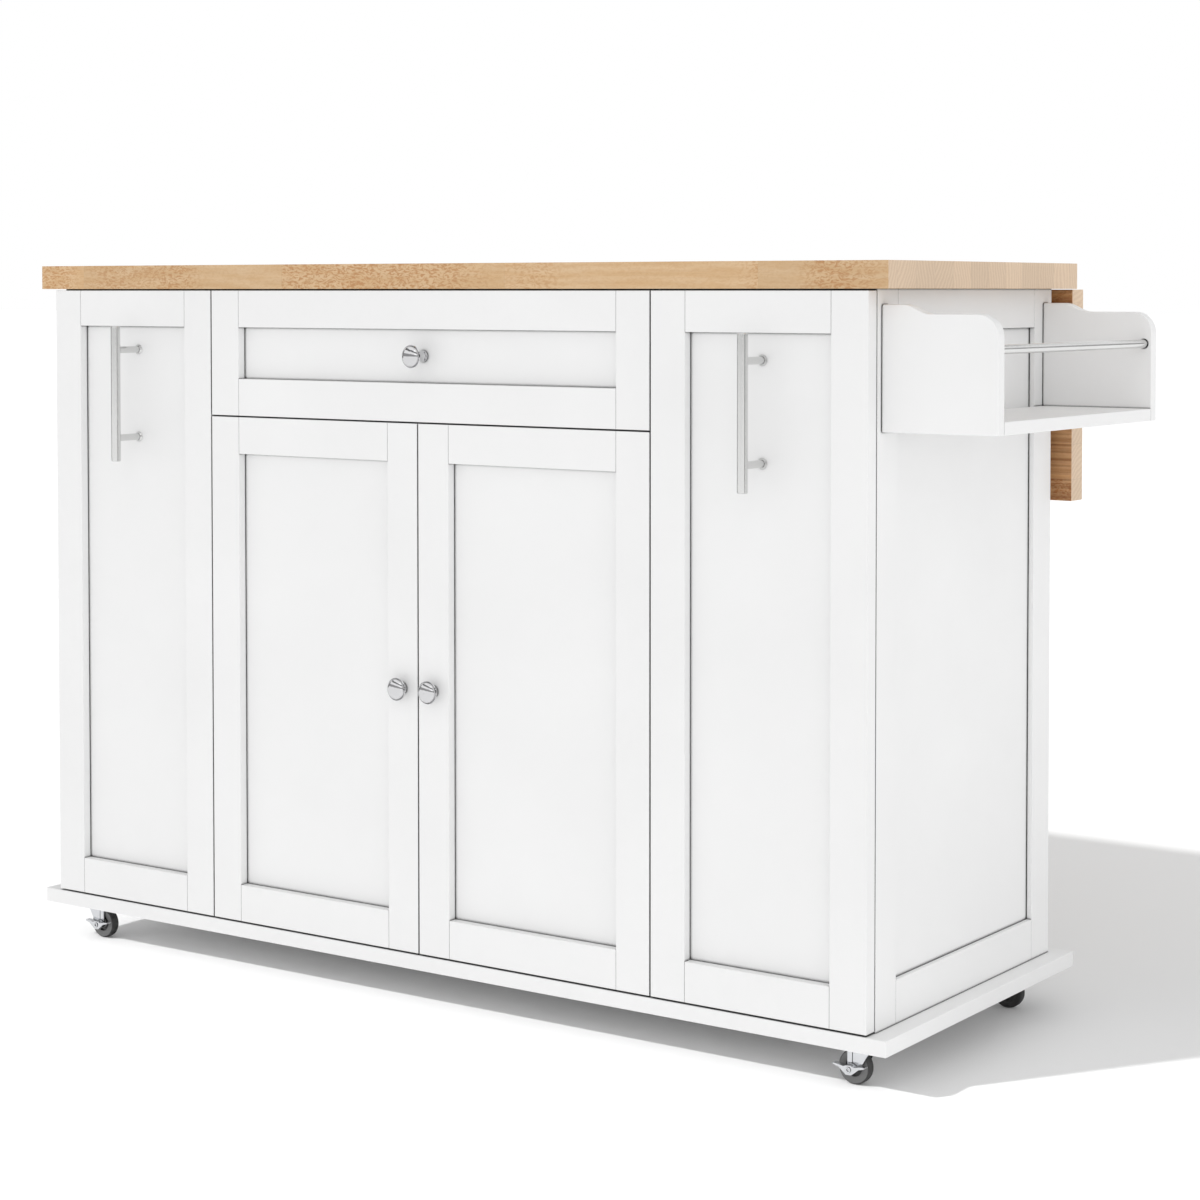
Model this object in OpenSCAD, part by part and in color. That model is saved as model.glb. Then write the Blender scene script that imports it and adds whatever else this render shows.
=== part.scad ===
// Drop leaf kitchen island on casters.
// +X is the rack side, -Y the side with drawer, doors and pull-outs, +Z is up.
// The origin is on the floor, under the centre of the overall outline.

/* [Worktop and leaf] */
// Width of the fixed worktop
top_w = 1330; // [1290:5:1400]
// Depth of the fixed worktop
top_d = 486; // [470:1:560]
// Thickness of the worktop and of the drop leaf
top_t = 31.5; // [25:0.5:40]
// Overhang of the worktop past each cabinet side
side_overhang = 25; // [10:1:40]
// Overhang of the worktop past the cabinet back, where the folded leaf stays lie
back_overhang = 21; // [20:0.5:40]
// Reach of the drop leaf
leaf_d = 265; // [255:1:320]
// How far the leaf stops short of each end of the worktop
leaf_inset = 6.5; // [2:0.5:20]

/* [Cabinet] */
// Height of the cabinet body between base board and worktop
body_h = 833.5; // [790:0.5:900]
// Thickness of the base board
base_t = 19; // [15:1:25]
// Thickness of the side frames
side_t = 19; // [18:1:22]
// Width of the side stiles and of the side top rail
side_stile_w = 47.5; // [40:0.5:60]
// Height of the side bottom rail
side_foot_w = 50; // [40:1:70]
// Set-back of the side infill behind the side frame
side_recess = 7.5; // [5:0.5:9]
// Thickness of the side infill boards
side_infill_t = 9; // [6:0.5:9]
// Thickness of the partitions, divider and shelf
board_t = 15; // [15:1:18]
// Thickness of the back panels
back_t = 12; // [9:1:15]
// Distance between the centre lines of the two partitions
centre_w = 697.2; // [640:0.2:720]
// Width of the stretchers under the worktop
stretcher_w = 60; // [40:1:80]
// Thickness of the stretchers under the worktop
stretcher_t = 18; // [15:1:20]
// Height of the shelf above the base board
shelf_z = 326; // [150:1:450]
// Distance of the front and rear rows of shelf pin holes from the front and the back panel
shelf_pin_y = 60; // [45:1:90]
// Vertical distance between shelf pin holes
shelf_hole_pitch = 32; // [25:1:50]

/* [Fronts] */
// Thickness of the stiles and rails of the fronts
front_t = 19; // [18:0.5:22]
// Set-back of the fronts behind the worktop edge
front_setback = 1.4; // [0:0.2:5]
// Gap round each front
reveal = 2; // [1.5:0.1:3]
// Gap between the closed fronts and the carcass
front_clear = 0.6; // [0.4:0.1:2]
// Set-back of the outer fronts from the cabinet side
edge_setback = 0.8; // [0:0.1:2]
// Width of the stiles
stile_w = 47.5; // [44:0.5:60]
// Width of the rails
rail_w = 48; // [40:0.5:55]
// Set-back of the infill panel behind the frame
recess = 12.7; // [8:0.1:12.8]
// Thickness of the infill panels
infill_t = 5.5; // [4:0.1:5.6]
// Shadow gap between the lip of a frame and its infill
infill_gap = 0.7; // [0.2:0.1:0.8]
// Lap of the infill panel behind stiles and rails
infill_lap = 6; // [4:0.5:8]
// Height of the drawer front
drawer_front_h = 163.5; // [150:0.5:200]

/* [Handles and knobs] */
// Diameter of the bar handle
bar_d = 12.5; // [10:0.5:14]
// Length of the bar handle
bar_len = 181; // [160:1:220]
// Distance between the posts of the bar handle
bar_post_pitch = 118; // [96:1:128]
// Distance of the bar's axis from the infill panel
bar_standoff = 42.7; // [32:0.1:50]
// Drop of the bar handle's middle below the top of the front
bar_drop = 138.5; // [130:0.5:200]
// Diameter of the knob heads
knob_d = 29; // [24:0.5:32]
// Height of the knob's rim above the drawer panel
drawer_knob_reach = 25; // [20:0.5:30]
// Height of the knob's rim above the door stile
door_knob_reach = 12.6; // [11:0.2:14]

/* [Drawer, trays and slides] */
// Distance of the slides from the back panel
slide_back_gap = 30; // [20:1:60]
// Height of the slides
slide_h = 35; // [30:1:40]
// Thickness of a slide's two members together
slide_t = 12.7; // [12:0.1:14]
// Sheet thickness of the slides
slide_sheet = 1.2; // [1:0.1:1.5]
// Thickness of the drawer and tray walls
wall_t = 12; // [9:1:15]
// Thickness of the drawer and tray bottoms
floor_t = 6; // [4:1:8]
// Height of the drawer box
drawer_box_h = 105; // [80:1:110]
// Height of the tray walls
tray_wall_h = 65; // [60:1:80]
// Vertical distance between trays
tray_pitch = 262; // [220:1:270]
// Height of the lowest tray above the base board
tray_lift = 14; // [8:1:20]
// Thickness of the packers behind the tray slides
packer_t = 10; // [8:0.5:14]
// Diameter of the guard rods above the tray walls
guard_d = 6; // [5:0.5:8]
// Height of the guard rods above the tray walls
guard_rise = 42; // [30:1:60]

/* [Rack] */
// Distance of the rack from the side panel to its outer end
rack_reach = 144; // [130:0.5:180]
// Distance of the first rack cheek behind the worktop edge
rack_y = 30; // [24:1:60]
// Distance of the second rack cheek from the cabinet back
rack_back_gap = 9.5; // [5:0.5:60]
// Thickness of the rack boards
rack_t = 15; // [12:1:18]
// Gap between the worktop and the top of the rack cheeks
rack_drop = 17.5; // [10:0.5:40]
// Height of the rack cheeks
rack_h = 142.5; // [120:0.5:180]
// Drop of the ogee in the cheek's top edge
ogee_drop = 10.5; // [6:0.5:16]
// Distance of the ogee from the side panel
ogee_x = 27; // [15:1:40]
// Length of the ogee
ogee_len = 33; // [24:1:50]
// Corner radius at the outer end of the cheeks
rack_corner_r = 25; // [10:1:35]
// Diameter of the towel bar
towel_d = 10.4; // [8:0.2:14]
// Distance of the towel bar from the outer end of the cheeks
towel_inset = 10; // [9:0.5:30]
// Drop of the towel bar below the top of the cheeks
towel_drop = 49; // [40:0.5:70]

/* [Casters] */
// Height of the casters
caster_h = 51; // [50:0.5:56]
// Distance of the swivel axes from the ends of the base board
caster_x = 53; // [30:1:60]
// Distance of the swivel axes from the long edges of the base board
caster_y = 49; // [30:1:60]
// Distance of the wheel axle from the swivel axis
caster_trail = 12; // [10:0.5:14]
// Diameter of the wheels
wheel_d = 40; // [36:0.5:40]
// Width of the wheels
wheel_w = 13; // [11:0.5:14]
// Side of the square mounting plate
plate_w = 40; // [38:1:44]
// Sheet thickness of fork and plate
caster_sheet = 2; // [1.5:0.1:2.5]
// Radius of the axles and king pins
axle_r = 3; // [2.5:0.1:3.5]

/* [Hinges and stays] */
// Length of a leaf hinge
leaf_hinge_len = 64; // [50:1:80]
// Width of one leaf hinge plate
leaf_hinge_w = 30; // [24:1:36]
// Sheet thickness of the leaf hinges
leaf_hinge_t = 1.5; // [1.2:0.1:2]
// Outer radius of the hinge knuckles
knuckle_r = 3.2; // [3:0.1:4]
// Radius of the hinge pins
pin_r = 1.5; // [1.2:0.1:1.8]
// Distance of the stay's pivot on the leaf from the hinge pin
stay_reach = 130; // [110:1:135]
// Width of the stay's links
stay_w = 14; // [10:0.5:15]
// Sheet thickness of the stay's links and brackets
stay_t = 2.5; // [2:0.1:3]
// Distance of the stays from the cabinet side
stay_inset = 210; // [160:5:240]
// Diameter of the hinge cups in the doors
cup_d = 35; // [26:1:35]
// Depth of the hinge cups
cup_depth = 11.5; // [10:0.5:12]
// Distance of the cup's centre from the door edge
cup_inset = 21.5; // [20.5:0.5:22]
// Height of the flange of a hinge cup, over both ears
cup_flange_h = 52; // [45:1:60]
// Distance of the door hinges from the ends of the door
door_hinge_z = 100; // [80:5:150]

/* [Fits] */
// Radial clearance of pins and axles in their holes
run_fit = 0.05; // [0.02:0.01:0.1]
// Gap between boards that butt in one frame or box
joint_line = 0.2; // [0.1:0.05:0.3]
// Gap between neighbouring sliding or turning parts
air = 0.4; // [0.3:0.05:0.5]

/* [Hidden] */
$fn = 48;

LEFT = -1;
RIGHT = 1;

// Heights, measured from the floor
base_z = caster_h;
floor_z = base_z + base_t;
under_z = floor_z + body_h;
top_z = under_z + top_t;

// Widths, measured from the middle of the cabinet
half_w = top_w / 2 - side_overhang;
inner_x = half_w - side_t;
part_x = centre_w / 2;
bay_in = part_x - board_t / 2;
bay_out = part_x + board_t / 2;

// Depths, measured from the front edge of the worktop
front_y = front_setback;
front_back_y = front_y + front_t;
carcass_y = front_back_y + front_clear;
back_y = top_d - back_overhang;
back_in_y = back_y - back_t;

// Fronts
front_z0 = floor_z + reveal;
front_z1 = under_z - reveal;
drawer_z0 = front_z1 - drawer_front_h;
door_z1 = drawer_z0 - reveal;
door_mid_z = (front_z0 + door_z1) / 2;
drawer_mid_z = (drawer_z0 + front_z1) / 2;
pull_x0 = part_x + reveal / 2;
pull_x1 = half_w - edge_setback;
pull_mid_x = (pull_x0 + pull_x1) / 2;
door_x0 = reveal / 2;
door_x1 = part_x - reveal / 2;
panel_y = front_y + recess;

// Bar handle: edge bevel, post radius and flare
bar_edge = 1;
post_r = 4.5;
post_flare = 2.5;

// Shelf pins and the holes above and below them
shelf_pin_r = 2.5;
shelf_pin_len = 9;
shelf_hole_depth = 8;
shelf_hole_steps = [-3 : 3];

// Slides and what runs on them
slide_y0 = carcass_y + 2;
slide_y1 = back_in_y - slide_back_gap;
slide_fit = 0.25;
divider_z1 = drawer_z0 - reveal / 2 + board_t / 2;
drawer_box_z0 = divider_z1 + 8;
drawer_slide_z = drawer_box_z0 + drawer_box_h / 2;
drawer_half = bay_in - slide_t - slide_fit;
tray_x0 = bay_out + packer_t + slide_t + slide_fit;
tray_x1 = inner_x - packer_t - slide_t - slide_fit;
tray_z = [for (i = [0 : 2]) floor_z + tray_lift + i * tray_pitch];
tray_slide_z = [tray_z[0] + tray_wall_h / 2, tray_z[2] + tray_wall_h / 2];
packer_h = slide_h + 10;
guard_x = wall_t / 2;

// Leaf: hinge pin, leaf and stays
leaf_fit = 0.4;
leaf_gap = 0.5;
pin_y = top_d;
pin_z = under_z - leaf_fit;
leaf_half = top_w / 2 - leaf_inset;
leaf_hinge_x = [for (k = [-1.5 : 1 : 1.5]) k * leaf_half * 0.57];
knuckles = 5;
stay_x = half_w - stay_inset;
stay_mid = (back_overhang - leaf_fit) / 2;
stay_axis_y = pin_y - stay_mid;
stay_drop = stay_reach + 2 * stay_mid;
stay_span = sqrt(2) * (stay_reach + stay_mid);
stay_knee = (stay_span + stay_reach + stay_drop) / 2;
stay_arm_len = stay_knee - stay_drop;
stay_link_len = stay_knee - stay_reach;
stay_pin_r = 2.5;
boss_r = 4.2;
rivet_h = 1.2;
foot_w = 28;
foot_h = 32;
stay_step = stay_t + air;

// Rack
rack_z1 = under_z - rack_drop;
rack_z0 = rack_z1 - rack_h;
rack_y1 = back_y - rack_back_gap;
towel_y0 = rack_y + rack_t / 2;
towel_y1 = rack_y1 - rack_t / 2;

// Casters
swivel_x = top_w / 2 - caster_x;
swivel_y = [caster_y, top_d - caster_y];
wheel_r = wheel_d / 2;
race_h = 3;
crown_t = 2.5;
crown_z1 = caster_h - caster_sheet - race_h - air;
crown_z0 = crown_z1 - crown_t;
leg_y = wheel_w / 2 + 1.5;
eye_r = 6;
lever_w = 8;
leg_x0 = -caster_trail - eye_r;
leg_x1 = 13;
axle_end = [air + lever_w + 1, 1.5];

// Overall outline, which the origin is centred under
outline_x = (half_w + rack_reach - top_w / 2) / 2;
outline_y0 = panel_y - bar_standoff - bar_d / 2;
outline_y1 = pin_y + leaf_fit + top_t;
origin = [outline_x, (outline_y0 + outline_y1) / 2, 0];

// ---- Helpers ----

// Carries cabinet coordinates into the frame of the whole part
module placed() {
    translate(-origin) children();
}

// A box given by its two ends on each axis
module board(x, y, z) {
    translate([min(x[0], x[1]), y[0], z[0]])
        cube([abs(x[1] - x[0]), y[1] - y[0], z[1] - z[0]]);
}

// Copies what is modelled on the +X side to the side asked for
module on_side(side) {
    mirror([side == LEFT ? 1 : 0, 0, 0]) children();
}

// Cylinders along X and Y, from one end
module rod_x(r, x0, x1) {
    translate([x0, 0, 0]) rotate([0, 90, 0]) cylinder(r = r, h = x1 - x0);
}
module rod_y(r, y0, y1) {
    translate([0, y0, 0]) rotate([-90, 0, 0]) cylinder(r = r, h = y1 - y0);
}

// Turns what is modelled on the raised leaf down about the hinge pin
module hung() {
    translate([0, pin_y, pin_z]) rotate([-90, 0, 0]) translate([0, -pin_y, -pin_z]) children();
}

// ---- Shaker fronts ----

// One stile or rail with the rebate that holds the infill panel
module framing(x, z, lap_x, lap_z) {
    difference() {
        board(x, [front_y, front_back_y], z);
        board(lap_x, [panel_y - infill_gap, front_back_y + 1], lap_z);
    }
}

// Two stiles and two rails round an infill panel
module shaker_frame(x0, x1, z0, z1) {
    lap_x = [x0 + stile_w - infill_lap, x1 - stile_w + infill_lap];
    lap_z = [z0 + rail_w - infill_lap, z1 - rail_w + infill_lap];
    rail_x = [x0 + stile_w + joint_line, x1 - stile_w - joint_line];
    framing([x0, x0 + stile_w], [z0, z1], lap_x, lap_z);
    framing([x1 - stile_w, x1], [z0, z1], lap_x, lap_z);
    framing(rail_x, [z0, z0 + rail_w], lap_x, lap_z);
    framing(rail_x, [z1 - rail_w, z1], lap_x, lap_z);
}

// The infill panel, let into the rebates
module shaker_infill(x0, x1, z0, z1) {
    lap = infill_lap - joint_line;
    board([x0 + stile_w - lap, x1 - stile_w + lap], [panel_y, panel_y + infill_t],
        [z0 + rail_w - lap, z1 - rail_w + lap]);
}

// ---- Handles ----

// Straight bar on two posts with flared feet
module bar_handle(x, z) {
    translate([x, panel_y, z]) {
        translate([0, -bar_standoff, -bar_len / 2]) {
            translate([0, 0, bar_edge]) cylinder(d = bar_d, h = bar_len - 2 * bar_edge);
            cylinder(d1 = bar_d - 2 * bar_edge, d2 = bar_d, h = bar_edge);
            translate([0, 0, bar_len - bar_edge])
                cylinder(d1 = bar_d, d2 = bar_d - 2 * bar_edge, h = bar_edge);
        }
        for (s = [-1, 1]) translate([0, 0, s * bar_post_pitch / 2]) {
            rod_y(post_r, -bar_standoff, 0);
            translate([0, -post_flare, 0]) rotate([-90, 0, 0])
                cylinder(r1 = post_r + 0.5, r2 = post_r + 2, h = post_flare);
        }
    }
}

// Mushroom knob turned about Y: foot, waisted neck, beaded rim and dome
module knob(x, y, z, reach) {
    head_r = knob_d / 2;
    neck_h = reach - 4;
    dome = [for (a = [0 : 12 : 84]) [(head_r - 1.6) * cos(a), reach + 1.2 + 6 * sin(a)]];
    waist = [for (t = [0 : 0.125 : 1]) [4.4 + 2.8 * pow(2 * t - 1, 2), 2.4 + t * (neck_h - 2.4)]];
    translate([x, y, z]) rotate([90, 0, 0]) rotate_extrude()
        polygon(concat([[0, 0], [7.2, 0], [7.2, 1.6]], waist,
            [[head_r - 3.5, reach - 2.4], [head_r - 0.6, reach - 1.2], [head_r, reach],
             [head_r - 0.5, reach + 0.9], [head_r - 1.3, reach + 0.7]], dome,
            [[0, reach + 7.2]]));
}

// ---- Slides ----

// C channel that opens towards +X or, with open = -1, towards -X
module channel(x, depth, h, z, open) {
    board([x, x + open * slide_sheet], [slide_y0, slide_y1], [z - h / 2, z + h / 2]);
    board([x, x + open * depth], [slide_y0, slide_y1],
        [z - h / 2, z - h / 2 + slide_sheet]);
    board([x, x + open * depth], [slide_y0, slide_y1],
        [z + h / 2 - slide_sheet, z + h / 2]);
}

// Member on the carcass: face at x, opening towards dir
module outer_member(x, z, dir) {
    channel(x, slide_t - 2 * slide_sheet, slide_h, z, dir);
}

// Member on the drawer or tray, nested in the outer one
module inner_member(x, z, dir) {
    channel(x, slide_t - 2 * slide_sheet, slide_h - 2 * slide_sheet - 2 * air, z, dir);
}

// ---- Root: worktop and carcass ----

// Pocket for one leaf hinge plate and its knuckles, in the raised position
module leaf_hinge_pocket(x, dir) {
    half = leaf_hinge_len / 2 + 0.3;
    y1 = pin_y + dir * (leaf_hinge_w + 0.3);
    board([x - half, x + half], [min(pin_y, y1), max(pin_y, y1)],
        [pin_z - 1, under_z + leaf_hinge_t]);
    translate([0, pin_y, pin_z]) rod_x(knuckle_r + air, x - half, x + half);
}

module worktop() {
    color("burlywood") placed() difference() {
        board([-top_w / 2, top_w / 2], [0, top_d], [under_z, top_z]);
        for (x = leaf_hinge_x) leaf_hinge_pocket(x, -1);
    }
}

module base_board() {
    color("white") placed()
        board([-top_w / 2, top_w / 2], [0, top_d], [base_z, floor_z]);
}

module side_frame(side) {
    x = [inner_x, half_w];
    z = [floor_z, under_z];
    y0 = carcass_y + side_stile_w;
    y1 = back_y - side_stile_w;
    z0 = floor_z + side_foot_w;
    z1 = under_z - side_stile_w;
    rail_y = [y0 + joint_line, y1 - joint_line];
    on_side(side) difference() {
        union() {
            board(x, [carcass_y, y0], z);
            board(x, [y1, back_y], z);
            board(x, rail_y, [floor_z, z0]);
            board(x, rail_y, [z1, under_z]);
        }
        board([inner_x - 1, half_w - side_recess + infill_gap], [y0 - infill_lap, y1 + infill_lap],
            [z0 - infill_lap, z1 + infill_lap]);
    }
}

module side_frames() {
    color("white") placed() {
        side_frame(LEFT);
        side_frame(RIGHT);
    }
}

module side_infills() {
    lap = infill_lap - joint_line;
    color("white") placed() for (side = [LEFT, RIGHT]) on_side(side)
        board([half_w - side_recess - side_infill_t, half_w - side_recess],
            [carcass_y + side_stile_w - lap, back_y - side_stile_w + lap],
            [floor_z + side_foot_w - lap, under_z - side_stile_w + lap]);
}

// Repeats what is modelled at a shelf pin of the front and rear rows
module at_shelf_pins() {
    for (y = [carcass_y + shelf_pin_y, back_in_y - shelf_pin_y])
        translate([0, y, floor_z + shelf_z - shelf_pin_r]) children();
}

module partitions() {
    color("white") placed() for (side = [LEFT, RIGHT]) on_side(side) difference() {
        board([bay_in, bay_out], [carcass_y, back_in_y], [floor_z, under_z]);
        at_shelf_pins() for (k = shelf_hole_steps) translate([0, 0, k * shelf_hole_pitch])
            rod_x(shelf_pin_r + run_fit, bay_in - 1, bay_in + shelf_hole_depth);
    }
}

module back_panels() {
    color("white") placed() {
        board([-part_x + joint_line / 2, part_x - joint_line / 2], [back_in_y, back_y],
            [floor_z, under_z]);
        for (side = [LEFT, RIGHT]) on_side(side)
            board([part_x + joint_line / 2, inner_x], [back_in_y, back_y],
                [floor_z, under_z]);
    }
}

// Flat boards that the worktop is screwed to, front and rear of each bay
module stretchers() {
    z = [under_z - stretcher_t, under_z];
    color("white") placed()
        for (y = [carcass_y, back_in_y - stretcher_w]) {
            board([-bay_in, bay_in], [y, y + stretcher_w], z);
            for (side = [LEFT, RIGHT]) on_side(side)
                board([bay_out, inner_x], [y, y + stretcher_w], z);
        }
}

module drawer_divider() {
    color("white") placed()
        board([-bay_in, bay_in], [carcass_y, back_in_y], [divider_z1 - board_t, divider_z1]);
}

module centre_shelf() {
    color("white") placed()
        board([-bay_in + 1, bay_in - 1], [carcass_y + 40, back_in_y - 1],
            [floor_z + shelf_z, floor_z + shelf_z + board_t]);
}

// Four pins in the partitions that the shelf lies on
module shelf_pins() {
    color("silver") placed() for (side = [LEFT, RIGHT]) on_side(side) at_shelf_pins()
        rod_x(shelf_pin_r, bay_in - shelf_pin_len, bay_in + shelf_hole_depth - 1);
}

// ---- Root: rack ----

// Side outline of a rack cheek: flat, ogee, flat, round corner
module cheek_outline() {
    steps = 12;
    low = rack_h - ogee_drop;
    curve = [for (i = [0 : steps])
        [ogee_x + ogee_len * i / steps, low + ogee_drop * (1 + cos(180 * i / steps)) / 2]];
    corner = [for (a = [90 : -9 : 0])
        [rack_reach - rack_corner_r * (1 - cos(a)), low - rack_corner_r * (1 - sin(a))]];
    polygon(concat([[0, 0], [0, rack_h - 2], [2, rack_h]], curve, corner, [[rack_reach, 0]]));
}

// Two cheeks with blind holes for the towel bar, and the shelf between them
module rack_boards() {
    color("white") placed() {
        difference() {
            for (y = [rack_y + rack_t, rack_y1])
                translate([half_w, y, rack_z0]) rotate([90, 0, 0])
                    linear_extrude(height = rack_t) cheek_outline();
            towel_axis() rod_y(towel_d / 2 + run_fit, towel_y0, towel_y1);
        }
        board([half_w, half_w + rack_reach],
            [rack_y + rack_t + joint_line, rack_y1 - rack_t - joint_line],
            [rack_z0, rack_z0 + rack_t]);
    }
}

module towel_axis() {
    translate([half_w + rack_reach - towel_inset, 0, rack_z1 - towel_drop]) children();
}

module towel_bar() {
    color("silver") placed() towel_axis() rod_y(towel_d / 2, towel_y0, towel_y1);
}

// ---- Root: slides and hinge arms ----

module slide_runners() {
    color("silver") placed() for (side = [LEFT, RIGHT]) on_side(side) {
        outer_member(bay_in, drawer_slide_z, -1);
        for (z = tray_slide_z) {
            outer_member(bay_out + packer_t, z, 1);
            outer_member(inner_x - packer_t, z, -1);
        }
    }
}

module slide_packers() {
    y = [carcass_y, back_in_y];
    color("white") placed() for (side = [LEFT, RIGHT]) on_side(side) for (zc = tray_slide_z) {
        z = [zc - packer_h / 2, zc + packer_h / 2];
        board([bay_out, bay_out + packer_t], y, z);
        board([inner_x - packer_t, inner_x], y, z);
    }
}

// Heights of the two hinges of a door
door_hinges = [front_z0 + door_hinge_z, door_z1 - door_hinge_z];

// Cranked arm of a cup hinge on its plate: its nose reaches into the cup
module hinge_arm(z) {
    cup_x = door_x1 - cup_inset;
    nose_y = front_back_y - cup_depth + 6.5;
    arm_w = 13;
    arm_len = 50;
    arm_y = carcass_y + 25;
    plate_t = 2;
    plate_h = 48;
    plate_x = bay_in - plate_t;
    nose_x = [cup_x - 9, cup_x + 1];
    translate([0, 0, z - arm_w / 2]) linear_extrude(height = arm_w)
        polygon([[plate_x, arm_y], [plate_x, arm_y + arm_len], [plate_x - 7, arm_y + arm_len],
            [plate_x - 9, arm_y + 10], [nose_x[0], arm_y - 14], [nose_x[0], nose_y],
            [nose_x[1], nose_y], [nose_x[1], arm_y - 20], [plate_x - 4, arm_y - 8]]);
    board([plate_x, bay_in], [arm_y + 6, arm_y + arm_len - 8],
        [z - plate_h / 2, z + plate_h / 2]);
}

module hinge_arms() {
    color("silver") placed() for (side = [LEFT, RIGHT]) on_side(side)
        for (z = door_hinges) hinge_arm(z);
}

// ---- Leaf hinges ----

// Knuckle k of a leaf hinge: first and last end as [x0, x1]
function knuckle_span(x, k) =
    let (pitch = leaf_hinge_len / knuckles, x0 = x - leaf_hinge_len / 2 + k * pitch)
    [x0 + 0.15, x0 + pitch - 0.15];

// One half of a leaf hinge, raised: a plate with every other knuckle
module hinge_half(x, dir, first) {
    half = leaf_hinge_len / 2;
    y1 = pin_y + dir * leaf_hinge_w;
    difference() {
        union() {
            board([x - half, x + half], [min(pin_y, y1), max(pin_y, y1)],
                [under_z, under_z + leaf_hinge_t]);
            for (k = [first : 2 : knuckles - 1])
                translate([0, pin_y, pin_z])
                    rod_x(knuckle_r, knuckle_span(x, k)[0], knuckle_span(x, k)[1]);
        }
        for (k = [1 - first : 2 : knuckles - 1])
            board([knuckle_span(x, k)[0] - 0.3, knuckle_span(x, k)[1] + 0.3],
                [pin_y - knuckle_r - air, pin_y + knuckle_r + air],
                [pin_z - knuckle_r - 1, under_z + leaf_hinge_t + 1]);
        translate([0, pin_y, pin_z]) rod_x(pin_r + run_fit, x - half - 1, x + half + 1);
    }
}

// Plates under the worktop, with the hinge pins
module leaf_hinge_plates() {
    color("silver") placed() for (x = leaf_hinge_x) {
        hinge_half(x, -1, 0);
        translate([0, pin_y, pin_z])
            rod_x(pin_r, x - leaf_hinge_len / 2, x + leaf_hinge_len / 2);
    }
}

module leaf_hinge_flaps() {
    color("silver") placed() hung() for (x = leaf_hinge_x) hinge_half(x, 1, 1);
}

module drop_leaf() {
    color("burlywood") placed() hung() difference() {
        board([-leaf_half, leaf_half], [pin_y + leaf_gap, pin_y + leaf_gap + leaf_d],
            [under_z, top_z]);
        for (x = leaf_hinge_x) leaf_hinge_pocket(x, 1);
    }
}

// ---- Folding stays ----

// Flat link hanging down from a pivot, with an eye at its top end
module stay_bar(x, z, len) {
    difference() {
        union() {
            board([x, x + stay_t], [stay_axis_y - stay_w / 2, stay_axis_y + stay_w / 2],
                [z - len, z]);
            for (dz = [0, -len]) translate([0, stay_axis_y, z + dz])
                rod_x(stay_w / 2, x, x + stay_t);
        }
        translate([0, stay_axis_y, z]) rod_x(stay_pin_r + run_fit, x - 1, x + stay_t + 1);
    }
}

// Heights of the stay's pivots with the leaf down
stay_foot_z = pin_z - stay_drop;
stay_head_z = pin_z - stay_reach;
// Layers of the stay along X: foot ear, arm, link, head ear
arm_x = stay_x + stay_step;
link_x = arm_x + stay_step + 2;
head_x = link_x + stay_step;

// Bracket with an ear and its rivet: on the cabinet back or on the leaf's underside
module stay_bracket(z, face_y, into, ear_x, pin_to) {
    plate_y = face_y + into * stay_t;
    plate_x = [ear_x - foot_w / 2, ear_x + foot_w / 2 + stay_t];
    head_y = [stay_axis_y - stay_w / 2, stay_axis_y + stay_w / 2];
    ear_y = [min(face_y, stay_axis_y), max(face_y, stay_axis_y)];
    board(plate_x, [min(face_y, plate_y), max(face_y, plate_y)], [z - foot_h / 2, z + foot_h / 2]);
    board([ear_x, ear_x + stay_t], ear_y, [z - stay_w / 2, z + stay_w / 2]);
    translate([0, stay_axis_y, z]) {
        rod_x(stay_w / 2, ear_x, ear_x + stay_t);
        rod_x(stay_pin_r, min(ear_x, pin_to), max(ear_x, pin_to));
        rod_x(boss_r, min(pin_to, pin_to + sign(pin_to - ear_x) * rivet_h),
            max(pin_to, pin_to + sign(pin_to - ear_x) * rivet_h));
    }
}

module stay_feet() {
    color("silver") placed() for (side = [LEFT, RIGHT]) on_side(side)
        stay_bracket(stay_foot_z, back_y, 1, stay_x, arm_x + stay_t + 0.2);
}

module stay_heads() {
    color("silver") placed() for (side = [LEFT, RIGHT]) on_side(side)
        stay_bracket(stay_head_z, pin_y + leaf_fit, -1, head_x, link_x - 0.2);
}

// Arm from the cabinet back to the knee, with the knee's boss
module stay_arm(side) {
    color("silver") placed() on_side(side) {
        stay_bar(arm_x, stay_foot_z, stay_arm_len);
        translate([0, stay_axis_y, stay_foot_z - stay_arm_len])
            rod_x(boss_r, arm_x - rivet_h, link_x - air);
    }
}

// Link from the leaf to the knee, with the knee's rivet head
module stay_link(side) {
    color("silver") placed() on_side(side) {
        stay_bar(link_x, stay_head_z, stay_link_len);
        translate([0, stay_axis_y, stay_head_z - stay_link_len])
            rod_x(boss_r, link_x, link_x + stay_t + rivet_h);
    }
}

module stay_arm_left() { stay_arm(LEFT); }
module stay_arm_right() { stay_arm(RIGHT); }
module stay_link_left() { stay_link(LEFT); }
module stay_link_right() { stay_link(RIGHT); }

// ---- Doors ----

module door_frame(side) {
    color("white") placed() on_side(side) difference() {
        shaker_frame(door_x0, door_x1, front_z0, door_z1);
        for (z = door_hinges) translate([door_x1 - cup_inset, 0, z])
            rod_y((cup_d + joint_line) / 2, front_back_y - cup_depth, front_back_y + 1);
    }
}

module door_infill(side) {
    color("white") placed() on_side(side)
        shaker_infill(door_x0, door_x1, front_z0, door_z1);
}

module door_knob(side) {
    color("gainsboro") placed() on_side(side)
        knob(door_x0 + stile_w / 2, front_y, door_mid_z, door_knob_reach);
}

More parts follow.
